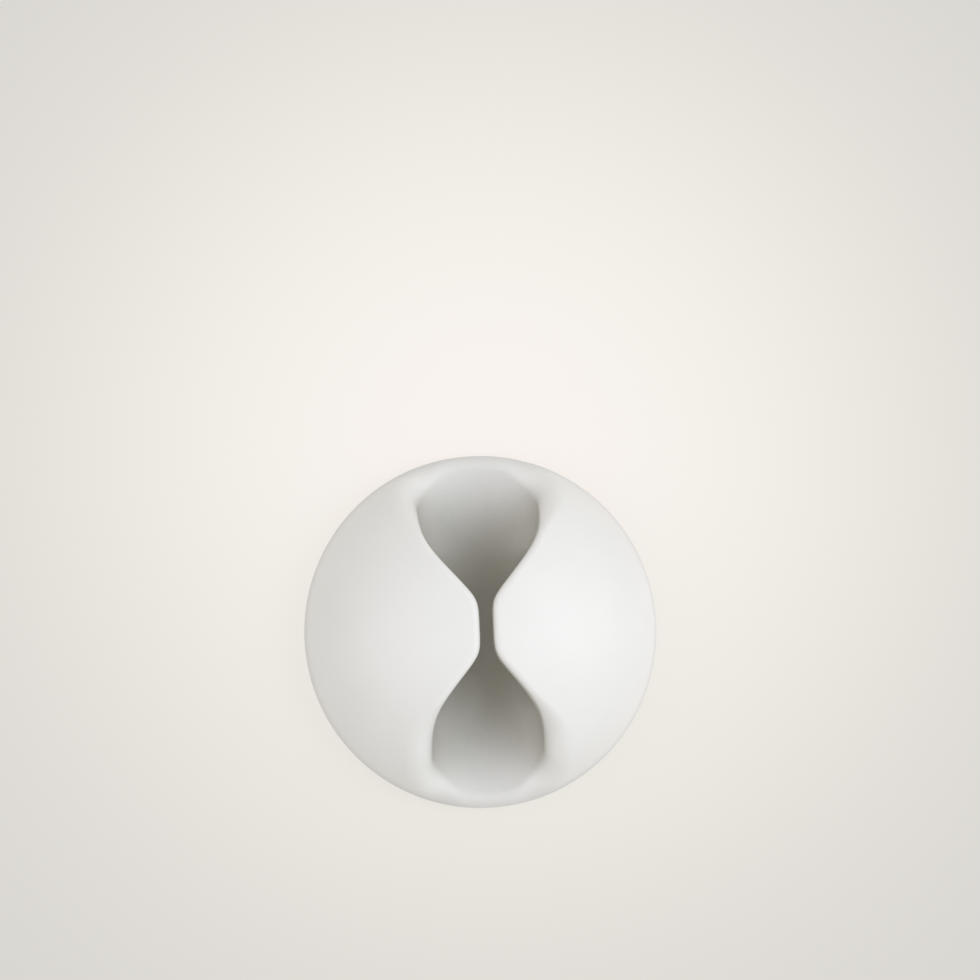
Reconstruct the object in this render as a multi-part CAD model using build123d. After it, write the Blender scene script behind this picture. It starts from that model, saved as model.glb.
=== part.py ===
from build123d import *
import math
import os
import numpy as np

# ---------------------------------------------------------------------------
# Stick-on cable holder: a soft round dome with a straight channel through it
# along Y, open to the top through an hourglass slit between two lobes, and a
# double-sided foam disc under its flat base.
# Frame: the wall or desk is z = 0, the dome rises along +Z, the channel runs
# along Y, the origin is at the middle of the disc's underside. Millimetres.
# ---------------------------------------------------------------------------

# base and dome
BASE_D = 23.4            # outside diameter of the dome at its base
BAND_H = 0.8             # short upright band at the foot of the dome
DOME_H = 10.4            # height of the dome above its own flat base
DOME_POWER = 2.2         # 2 is an ellipse, more is flatter on top
DOME_RUNOUT = 1.022      # where the dome's curve would stand upright, by base radius
FOOT_R = 0.15            # small round at the bottom edge of the band

# channel
CHANNEL_R = 3.0          # radius of the round channel in its middle stretch
CHANNEL_Z = 4.5          # height of its axis above the dome's base
CHANNEL_INSET = 0.12     # the drawn skin stays this far inside the round there
DRAFT = 0.12             # the channel opens by this much a side for each mm outwards
DRAFT_START = 2.0        # from here along Y
DRAFT_END = 5.5          # to here, then it runs level to the mouth
ROUND_HALF = 3.9         # half length of the cutter for the middle stretch
MOUTH_SQUARE = 2.2       # 2 is a round channel, more is flatter underneath: at the mouths

# slit, half widths seen from above
SLIT_HALF = 0.43         # at the lips
SLIT_FLANK = 0.86        # sideways run of the flanks for each mm along Y
SLIT_START = 1.75        # where the flanks leave the parallel lips
SLIT_START_W = 0.29      # softness of that bend
MOUTH_HALF_TOP = 4.00    # half width of the mouth at +Y
MOUTH_HALF_LOW = 3.67    # half width of the mouth at -Y
MOUTH_W = 0.60           # softness of the bend into the mouths

# edge rounds
LIP_R = 0.40             # upper edge of the lips and flanks
MOUTH_R = 1.90           # edge of the mouths, where they melt into the dome
SILL_R = 1.10            # outer edge of the channel's floor
MELT_TOP = 5.2           # the edge starts to melt here at +Y
MELT_LOW = 3.8           # and here at -Y
MELT_RUN = 4.0           # over this length
LIP_UNDER_R = 0.50       # lower edge of the lips, inside the channel

# foam disc
DISC_D = 22.2
DISC_T = 0.8

# spacing of the sections
SPAN = 12.1              # half extent of the drawn surface, past the base circle
EASE = 0.8               # how fast the drawn surface levels out past the base circle
STEP = 0.03              # step along each section curve
POINTS = 104             # points kept on each half section
PLANES = 101             # section planes along Y, evenly spaced

R = BASE_D / 2
A = DOME_RUNOUT * R
_k = (1 - (R / A) ** DOME_POWER) ** (1 / DOME_POWER)
B = (DOME_H - BAND_H) / (1 - _k)
Z0 = DOME_H - B


def softplus(t):
    return np.logaddexp(0.0, t)


def logistic(t):
    return 1.0 / (1.0 + np.exp(-np.clip(t, -60, 60)))


def smoothstep(a, b, t):
    u = np.clip((t - a) / (b - a), 0, 1)
    return u * u * u * (u * (6 * u - 15) + 10)


def slit_half(y):
    """Half width of the hourglass slit at y, and its slope."""
    a = np.abs(y)
    top = np.where(y > 0, MOUTH_HALF_TOP, MOUTH_HALF_LOW)
    end = SLIT_START + (top - SLIT_HALF) / SLIT_FLANK
    g = SLIT_HALF + SLIT_FLANK * (
        SLIT_START_W * softplus((a - SLIT_START) / SLIT_START_W)
        - MOUTH_W * softplus((a - end) / MOUTH_W))
    dg = SLIT_FLANK * (logistic((a - SLIT_START) / SLIT_START_W)
                       - logistic((a - end) / MOUTH_W))
    return g, dg


def dome_height(r):
    """Height of the plain dome at radius r, and its steepness."""
    q = np.minimum(r, R)
    s = 1 - (q / A) ** DOME_POWER
    z = Z0 + B * s ** (1 / DOME_POWER)
    slope = B * s ** (1 / DOME_POWER - 1) * (q / A) ** (DOME_POWER - 1) / A
    fade = np.exp(-(r - q) / EASE)
    return z - slope * EASE * (1 - fade), slope * fade


def skin(x, y, z):
    """Below zero inside the rubber, above zero outside it."""
    r = np.hypot(x, y)
    zd, slope = dome_height(r)
    dome = (z - zd) / np.sqrt(1 + slope * slope)
    g, dg = slit_half(y)
    # the channel opens towards the mouths by its draft, and sideways with the
    # slit above it
    a = np.abs(y)
    c = CHANNEL_R - CHANNEL_INSET + DRAFT * (
        0.8 * softplus((a - DRAFT_START) / 0.8) - softplus(a - DRAFT_END))
    w = c + 0.08 * softplus((g - c) / 0.08)
    dz = z - CHANNEL_Z
    p = 2 + (MOUTH_SQUARE - 2) * smoothstep(4.0, 9.0, a)
    u, v = np.abs(x) / w, np.abs(dz) / c
    k = (u ** p + v ** p + 1e-12) ** (1 / p)
    steep = np.hypot(u ** (p - 1) / w, v ** (p - 1) / c) * k ** (1 - p)
    channel = (k - 1) / np.maximum(steep, 1e-3)
    side = (np.abs(x) - g) / np.sqrt(1 + dg * dg)
    slit = np.where(dz < 0, np.hypot(np.maximum(side, 0), dz), np.maximum(side, -dz))
    ru = LIP_UNDER_R * smoothstep(0.0, 1.2, w - g) + 1e-3
    gap = (np.maximum(ru, np.minimum(channel, slit))
           - np.hypot(np.maximum(ru - channel, 0), np.maximum(ru - slit, 0)))
    cut = -gap
    first = np.where(y > 0, MELT_TOP, MELT_LOW)
    most = SILL_R + (MOUTH_R - SILL_R) * smoothstep(0.35, 1.0, np.abs(x) / g)
    rt = LIP_R + (most - LIP_R) * smoothstep(first, first + MELT_RUN, a)
    return (np.minimum(-rt, np.maximum(dome, cut))
            + np.hypot(np.maximum(rt + dome, 0), np.maximum(rt + cut, 0)))


def section_curves(ys):
    """Follow the skin in each plane y = const, from the middle of the
    channel's floor, round the channel, over the lip and down the dome."""
    n = len(ys)
    x = np.zeros(n)
    z = np.zeros(n)
    zz = np.linspace(-25.0, CHANNEL_Z, 4000)
    for i, yy in enumerate(ys):
        m = skin(np.zeros_like(zz), np.full_like(zz, yy), zz)
        k = int(np.argmax(m > 0))
        lo, hi = zz[k - 1], zz[k]
        for _ in range(40):
            mid = 0.5 * (lo + hi)
            if skin(np.array([0.0]), np.array([yy]), np.array([mid]))[0] > 0:
                hi = mid
            else:
                lo = mid
        z[i] = 0.5 * (lo + hi)
    e = 1e-4

    def grad(px, pz):
        return ((skin(px + e, ys, pz) - skin(px - e, ys, pz)) / (2 * e),
                (skin(px, ys, pz + e) - skin(px, ys, pz - e)) / (2 * e))

    xs, zs = [x.copy()], [z.copy()]
    for _ in range(2500):
        gx, gz = grad(x, z)
        length = np.hypot(gx, gz)
        mx, mz = x + 0.5 * STEP * gz / length, z - 0.5 * STEP * gx / length
        gx, gz = grad(mx, mz)
        length = np.hypot(gx, gz)
        x, z = x + STEP * gz / length, z - STEP * gx / length
        for _ in range(2):
            gx, gz = grad(x, z)
            m = skin(x, ys, z)
            q = gx * gx + gz * gz
            x, z = x - m * gx / q, z - m * gz / q
        xs.append(x.copy())
        zs.append(z.copy())
        if (x > SPAN + 0.2).all():
            break
    return np.array(xs), np.array(zs)


def spaced(x, z):
    """Thin one section curve to POINTS points, closer where it bends."""
    k = int(np.argmax(x > SPAN))
    t = (SPAN - x[k - 1]) / (x[k] - x[k - 1])
    x = np.append(x[:k], SPAN)
    z = np.append(z[:k], z[k - 1] + t * (z[k] - z[k - 1]))
    dx, dz = np.diff(x), np.diff(z)
    s = np.hypot(dx, dz)
    turn = np.unwrap(np.arctan2(dz, dx))
    bend = np.abs(np.diff(turn)) / np.maximum(0.5 * (s[1:] + s[:-1]), 1e-6)
    bend = np.minimum(np.concatenate([[bend[0]], bend, [bend[-1]]]), 2.5)
    w = 14
    ker = np.hanning(2 * w + 3)[1:-1]
    bend = np.convolve(np.pad(bend, w, mode="edge"), ker / ker.sum(), "valid")[:len(s) + 1]
    weight = 1 + 1.3 * bend
    c = np.concatenate([[0], np.cumsum(s * 0.5 * (weight[1:] + weight[:-1]))])
    u = np.linspace(0, c[-1], POINTS)
    return np.interp(u, c, x), np.interp(u, c, z)


# section planes
planes = np.linspace(-SPAN, SPAN, PLANES)

xs, zs = section_curves(planes)
sections = []
for j, y in enumerate(planes):
    px, pz = spaced(xs[:, j], zs[:, j])
    right = [(float(a), float(y), float(b)) for a, b in zip(px, pz)]
    right[0] = (0.0, float(y), right[0][2])
    left = [(-a, b, c) for a, b, c in right[:0:-1]]
    sections.append(left + right)

n = len(sections[0])
par = [k / (n - 1) for k in range(n)]
wires = [Wire([Edge.make_spline([Vector(*p) for p in row], parameters=par)])
         for row in sections]
surface = Shell.make_loft(wires, False).faces()[0]
if surface.area > 2000:
    raise SystemExit("the lofted surface is wrong: area %.0f" % surface.area)

# the moulding: everything under that surface, inside the base circle
under = Solid.extrude(surface, Vector(0, 0, -45))
blank = Solid.make_cylinder(R, 20.0, Plane.XY)
body = (under & blank).solids()[0]

# the true round of the channel's middle stretch; the drafted ends are wider
cutter = Solid.make_cylinder(
    CHANNEL_R, 2 * ROUND_HALF,
    Plane(origin=(0, -ROUND_HALF, CHANNEL_Z), x_dir=(0, 0, 1), z_dir=(0, 1, 0)))
body = (body - cutter).solids()[0]
foot = [e for e in body.edges() if e.center().Z < 0.01 and abs(e.bounding_box().size.Z) < 0.01]
body = body.fillet(FOOT_R, foot)
body = body.moved(Location((0, 0, DISC_T)))

# the foam disc under it, set in from the rim
disc = Solid.make_cylinder(DISC_D / 2, DISC_T, Plane.XY)

os.makedirs("parts", exist_ok=True)
export_step(body, "parts/clip_body.step")
export_step(disc, "parts/adhesive_disc.step")

for name, s in (("clip_body", body), ("adhesive_disc", disc)):
    bb = s.bounding_box()
    print(name, "volume", round(s.volume, 2), "valid", s.is_valid,
          "faces", len(s.faces()),
          "box", [round(v, 3) for v in (bb.min.X, bb.min.Y, bb.min.Z, bb.max.X, bb.max.Y, bb.max.Z)])
print("steepness at the foot", round(math.degrees(math.atan(float(dome_height(R)[1]))), 1),
      "sections", len(planes), "points", n)
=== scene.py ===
import math

import bpy
from mathutils import Matrix, Vector

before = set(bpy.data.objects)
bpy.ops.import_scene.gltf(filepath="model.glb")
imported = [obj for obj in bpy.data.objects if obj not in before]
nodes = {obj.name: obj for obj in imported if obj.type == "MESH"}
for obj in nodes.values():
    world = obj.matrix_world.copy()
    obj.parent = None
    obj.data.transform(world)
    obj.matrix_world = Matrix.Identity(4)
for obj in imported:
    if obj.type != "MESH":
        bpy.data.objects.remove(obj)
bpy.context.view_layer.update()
scene = bpy.context.scene

# ---------------------------------------------------------------------------
# camera: nearly straight down on the holder, a little from the left and from
# below, with the holder low in the frame
# ---------------------------------------------------------------------------
TILT_LEFT = math.radians(2.32)
TILT_LOW = math.radians(2.02)
ROLL = math.radians(-2.48)
DIST = 0.300
FOCAL_PX = 4504.0
AIM_PX = (480.15, 631.8)
SIZE_PX = 980.0
TARGET = Vector((0.0, 0.0, 0.0008))

ct, st = math.cos(ROLL), math.sin(ROLL)
right0 = Vector((ct, st, 0.0))
up0 = Vector((-st, ct, 0.0))
d = -math.sin(TILT_LEFT) * right0 - math.sin(TILT_LOW) * up0
d = d + Vector((0, 0, 1)) * math.sqrt(1 - d.length_squared)
eye = TARGET + d * DIST
fwd = -d
right = (right0 - fwd * right0.dot(fwd)).normalized()
up = right.cross(fwd).normalized()
# turn the axis so that the target lands on its place in the frame
ax = (AIM_PX[0] - SIZE_PX / 2) / FOCAL_PX
ay = (SIZE_PX / 2 - AIM_PX[1]) / FOCAL_PX
fwd = (fwd - right * ax - up * ay).normalized()
right = (right - fwd * right.dot(fwd)).normalized()
up = right.cross(fwd).normalized()
cam_data = bpy.data.cameras.new("camera")
cam_data.sensor_fit = "AUTO"
cam_data.sensor_width = 36.0
cam_data.lens = FOCAL_PX / SIZE_PX * 36.0
cam_data.clip_start = 0.01
cam_data.clip_end = 10.0
cam = bpy.data.objects.new("camera", cam_data)
scene.collection.objects.link(cam)
m = Matrix((
    (right.x, up.x, -fwd.x, eye.x),
    (right.y, up.y, -fwd.y, eye.y),
    (right.z, up.z, -fwd.z, eye.z),
    (0, 0, 0, 1)))
cam.matrix_world = m
scene.camera = cam


# ---------------------------------------------------------------------------
# materials
# ---------------------------------------------------------------------------
# painted shade: the share of the rubber's own colour that is left deepest in
# the hollow, further out in it, near its mouths, and at the foot of the dome,
# where it fades out between two heights
PAINTED_SHADE_DEEP = (0.86, 0.84, 0.79)
PAINTED_SHADE_MID = (0.45, 0.435, 0.385)
PAINTED_SHADE_OUT = (0.70, 0.685, 0.635)
FOOT_SHADE = 0.86
FOOT_FROM, FOOT_TO = 0.0016, 0.0030


def material(name):
    mat = bpy.data.materials.new(name)
    mat.use_nodes = True
    nt = mat.node_tree
    for n in list(nt.nodes):
        nt.nodes.remove(n)
    out = nt.nodes.new("ShaderNodeOutputMaterial")
    bsdf = nt.nodes.new("ShaderNodeBsdfPrincipled")
    nt.links.new(bsdf.outputs["BSDF"], out.inputs["Surface"])
    coord = nt.nodes.new("ShaderNodeTexCoord")
    return mat, nt, bsdf, coord


def noise(nt, coord, scale, detail=2.0, rough=0.5):
    n = nt.nodes.new("ShaderNodeTexNoise")
    n.inputs["Scale"].default_value = scale
    n.inputs["Detail"].default_value = detail
    n.inputs["Roughness"].default_value = rough
    nt.links.new(coord.outputs["Object"], n.inputs["Vector"])
    return n


def ramp(nt, src, stops):
    r = nt.nodes.new("ShaderNodeValToRGB")
    while len(r.color_ramp.elements) < len(stops):
        r.color_ramp.elements.new(0.5)
    for e, (p, c) in zip(r.color_ramp.elements, stops):
        e.position = p
        e.color = (*c, 1)
    nt.links.new(src, r.inputs["Fac"])
    return r


def span(nt, src, lo, hi, a=0.0, b=1.0):
    n = nt.nodes.new("ShaderNodeMapRange")
    n.inputs["From Min"].default_value = a
    n.inputs["From Max"].default_value = b
    n.inputs["To Min"].default_value = lo
    n.inputs["To Max"].default_value = hi
    nt.links.new(src, n.inputs["Value"])
    return n


def bump(nt, src, strength, distance, normal=None):
    b = nt.nodes.new("ShaderNodeBump")
    b.inputs["Strength"].default_value = strength
    b.inputs["Distance"].default_value = distance
    nt.links.new(src, b.inputs["Height"])
    if normal is not None:
        nt.links.new(normal, b.inputs["Normal"])
    return b


def soft_rubber():
    """Matte off-white rubber with a fine moulded grain. The tints in the hollow
    and along the foot aren't colours of the rubber: they stand in for shade
    that the light here doesn't give."""
    mat, nt, bsdf, coord = material("soft_white_rubber")
    cloud = noise(nt, coord, 140.0, 3.0)
    unshaded_rubber = ramp(nt, cloud.outputs["Fac"], [
        (0.30, (0.648, 0.647, 0.641)), (0.70, (0.672, 0.671, 0.665))])
    # painted shade: the rubber's colour is darkened where its own hollow occludes it,
    # most in the channel
    hollow = nt.nodes.new("ShaderNodeAmbientOcclusion")
    hollow.only_local = True
    hollow.samples = 12
    hollow.inputs["Distance"].default_value = 0.010
    painted_shade = ramp(nt, hollow.outputs["AO"], [
        (0.12, PAINTED_SHADE_DEEP), (0.38, PAINTED_SHADE_MID), (0.58, PAINTED_SHADE_OUT), (0.82, (1.0, 1.0, 1.0))])
    painted_shade.color_ramp.interpolation = "B_SPLINE"
    # painted shade: a darker band along the foot of the dome, fading out between
    # FOOT_FROM and FOOT_TO
    height = nt.nodes.new("ShaderNodeSeparateXYZ")
    nt.links.new(coord.outputs["Object"], height.inputs["Vector"])
    foot = span(nt, height.outputs["Z"], FOOT_SHADE, 1.0, FOOT_FROM, FOOT_TO)
    footed = nt.nodes.new("ShaderNodeVectorMath")
    footed.operation = "SCALE"
    nt.links.new(unshaded_rubber.outputs["Color"], footed.inputs[0])
    nt.links.new(foot.outputs["Result"], footed.inputs["Scale"])
    colour = nt.nodes.new("ShaderNodeVectorMath")
    colour.operation = "MULTIPLY"
    nt.links.new(footed.outputs["Vector"], colour.inputs[0])
    nt.links.new(painted_shade.outputs["Color"], colour.inputs[1])
    nt.links.new(colour.outputs["Vector"], bsdf.inputs["Base Color"])
    grain = noise(nt, coord, 5200.0, 2.0, 0.6)
    rough = span(nt, noise(nt, coord, 320.0, 2.0).outputs["Fac"], 0.50, 0.62, 0.3, 0.7)
    nt.links.new(rough.outputs["Result"], bsdf.inputs["Roughness"])
    slow = noise(nt, coord, 420.0, 2.0)
    b1 = bump(nt, slow.outputs["Fac"], 0.10, 0.00004)
    b2 = bump(nt, grain.outputs["Fac"], 0.12, 0.000012, b1.outputs["Normal"])
    nt.links.new(b2.outputs["Normal"], bsdf.inputs["Normal"])
    bsdf.inputs["Subsurface Weight"].default_value = 0.12
    bsdf.inputs["Subsurface Radius"].default_value = (1.0, 0.9, 0.8)
    bsdf.inputs["Subsurface Scale"].default_value = 0.0004
    bsdf.inputs["Specular IOR Level"].default_value = 0.36
    bsdf.inputs["IOR"].default_value = 1.46
    return mat


def foam():
    """White closed-cell foam tape: pores on its cut edge, tacky faces."""
    mat, nt, bsdf, coord = material("white_foam_tape")
    cells = nt.nodes.new("ShaderNodeTexVoronoi")
    cells.inputs["Scale"].default_value = 6500.0
    nt.links.new(coord.outputs["Object"], cells.inputs["Vector"])
    patch = noise(nt, coord, 900.0, 3.0)
    colour = ramp(nt, patch.outputs["Fac"], [
        (0.30, (0.54, 0.54, 0.52)), (0.70, (0.63, 0.63, 0.61))])
    nt.links.new(colour.outputs["Color"], bsdf.inputs["Base Color"])
    rough = span(nt, patch.outputs["Fac"], 0.32, 0.62, 0.3, 0.7)
    nt.links.new(rough.outputs["Result"], bsdf.inputs["Roughness"])
    b1 = bump(nt, cells.outputs["Distance"], 0.55, 0.00006)
    b2 = bump(nt, patch.outputs["Fac"], 0.25, 0.00008, b1.outputs["Normal"])
    nt.links.new(b2.outputs["Normal"], bsdf.inputs["Normal"])
    bsdf.inputs["Subsurface Weight"].default_value = 0.15
    bsdf.inputs["Subsurface Radius"].default_value = (1.0, 0.95, 0.9)
    bsdf.inputs["Subsurface Scale"].default_value = 0.0005
    return mat


def put(obj, mat):
    if not obj.data.materials:
        obj.data.materials.append(mat)
    for i in range(len(obj.material_slots)):
        obj.material_slots[i].material = mat


put(nodes["clip_body"], soft_rubber())
put(nodes["adhesive_disc"], foam())

# ---------------------------------------------------------------------------
# floor: a plain pale warm surface with a painted pool of light, a soft round glow
# behind the holder; most of its light is its own painted glow, so the holder hardly
# shades it
# ---------------------------------------------------------------------------
GLOW = Vector((0.0012, 0.0118, 0.0))
GLOW_R = 0.050
FLOOR_LIT = 0.12
FLOOR_OWN = 0.85
fm = bpy.data.meshes.new("floor")
S = 1.2
fm.from_pydata([(-S, -S, 0), (S, -S, 0), (S, S, 0), (-S, S, 0)], [], [(0, 1, 2, 3)])
floor = bpy.data.objects.new("floor", fm)
scene.collection.objects.link(floor)
floor.location = (0, 0, -0.00002)
mat, nt, bsdf, coord = material("pale_floor")
shift = nt.nodes.new("ShaderNodeVectorMath")
shift.operation = "SUBTRACT"
shift.inputs[1].default_value = GLOW
nt.links.new(coord.outputs["Object"], shift.inputs[0])
length = nt.nodes.new("ShaderNodeVectorMath")
length.operation = "LENGTH"
nt.links.new(shift.outputs["Vector"], length.inputs[0])
fade = span(nt, length.outputs["Value"], 0.0, 1.0, 0.0, GLOW_R)
# painted light: a round pool of light in the floor's colour and in the light it gives
# off itself
painted_glow = ramp(nt, fade.outputs["Result"], [
    (0.0, (0.940, 0.890, 0.850)), (0.20, (0.930, 0.888, 0.842)),
    (0.45, (0.845, 0.818, 0.768)), (0.70, (0.742, 0.718, 0.678)),
    (1.0, (0.672, 0.655, 0.618))])
painted_glow.color_ramp.interpolation = "B_SPLINE"
lit = nt.nodes.new("ShaderNodeVectorMath")
lit.operation = "SCALE"
lit.inputs["Scale"].default_value = FLOOR_LIT
nt.links.new(painted_glow.outputs["Color"], lit.inputs[0])
nt.links.new(lit.outputs["Vector"], bsdf.inputs["Base Color"])
nt.links.new(painted_glow.outputs["Color"], bsdf.inputs["Emission Color"])
bsdf.inputs["Emission Strength"].default_value = FLOOR_OWN
fn = noise(nt, coord, 900.0, 3.0)
fb = bump(nt, fn.outputs["Fac"], 0.04, 0.00004)
nt.links.new(fb.outputs["Normal"], bsdf.inputs["Normal"])
bsdf.inputs["Roughness"].default_value = 0.85
bsdf.inputs["Specular IOR Level"].default_value = 0.1
fm.materials.append(mat)


# ---------------------------------------------------------------------------
# light: a cool soft box high on the right, weaker ones low on the right and on
# the left, and an even, slightly warm room
# ---------------------------------------------------------------------------
def softbox(name, at, aim, size, power, colour=(1, 1, 1)):
    ld = bpy.data.lights.new(name, "AREA")
    ld.shape = "DISK"
    ld.size = size
    ld.energy = power
    ld.color = colour
    lo = bpy.data.objects.new(name, ld)
    lo.location = at
    lo.rotation_mode = "QUATERNION"
    lo.rotation_quaternion = (Vector(aim) - Vector(at)).to_track_quat("-Z", "Y")
    lo.visible_camera = False
    scene.collection.objects.link(lo)
    return lo


softbox("key", (0.30, 0.0, 0.52), (0, 0, 0.004), 0.30, 1.32, (0.785, 0.84, 0.985))
softbox("fill", (-0.42, 0.0, 0.42), (0, 0, 0.004), 0.40, 0.73, (0.91, 0.86, 1.0))
softbox("side", (0.56, 0.0, 0.20), (0, 0, 0.004), 0.40, 0.85, (0.99, 0.96, 1.0))
world = bpy.data.worlds.new("room")
world.use_nodes = True
bg = world.node_tree.nodes["Background"]
bg.inputs["Color"].default_value = (1.0, 0.988, 0.912, 1)
bg.inputs["Strength"].default_value = 0.866
scene.world = world

scene.view_settings.view_transform = "Standard"
scene.view_settings.look = "None"
scene.view_settings.exposure = 0.0
scene.view_settings.gamma = 1.0
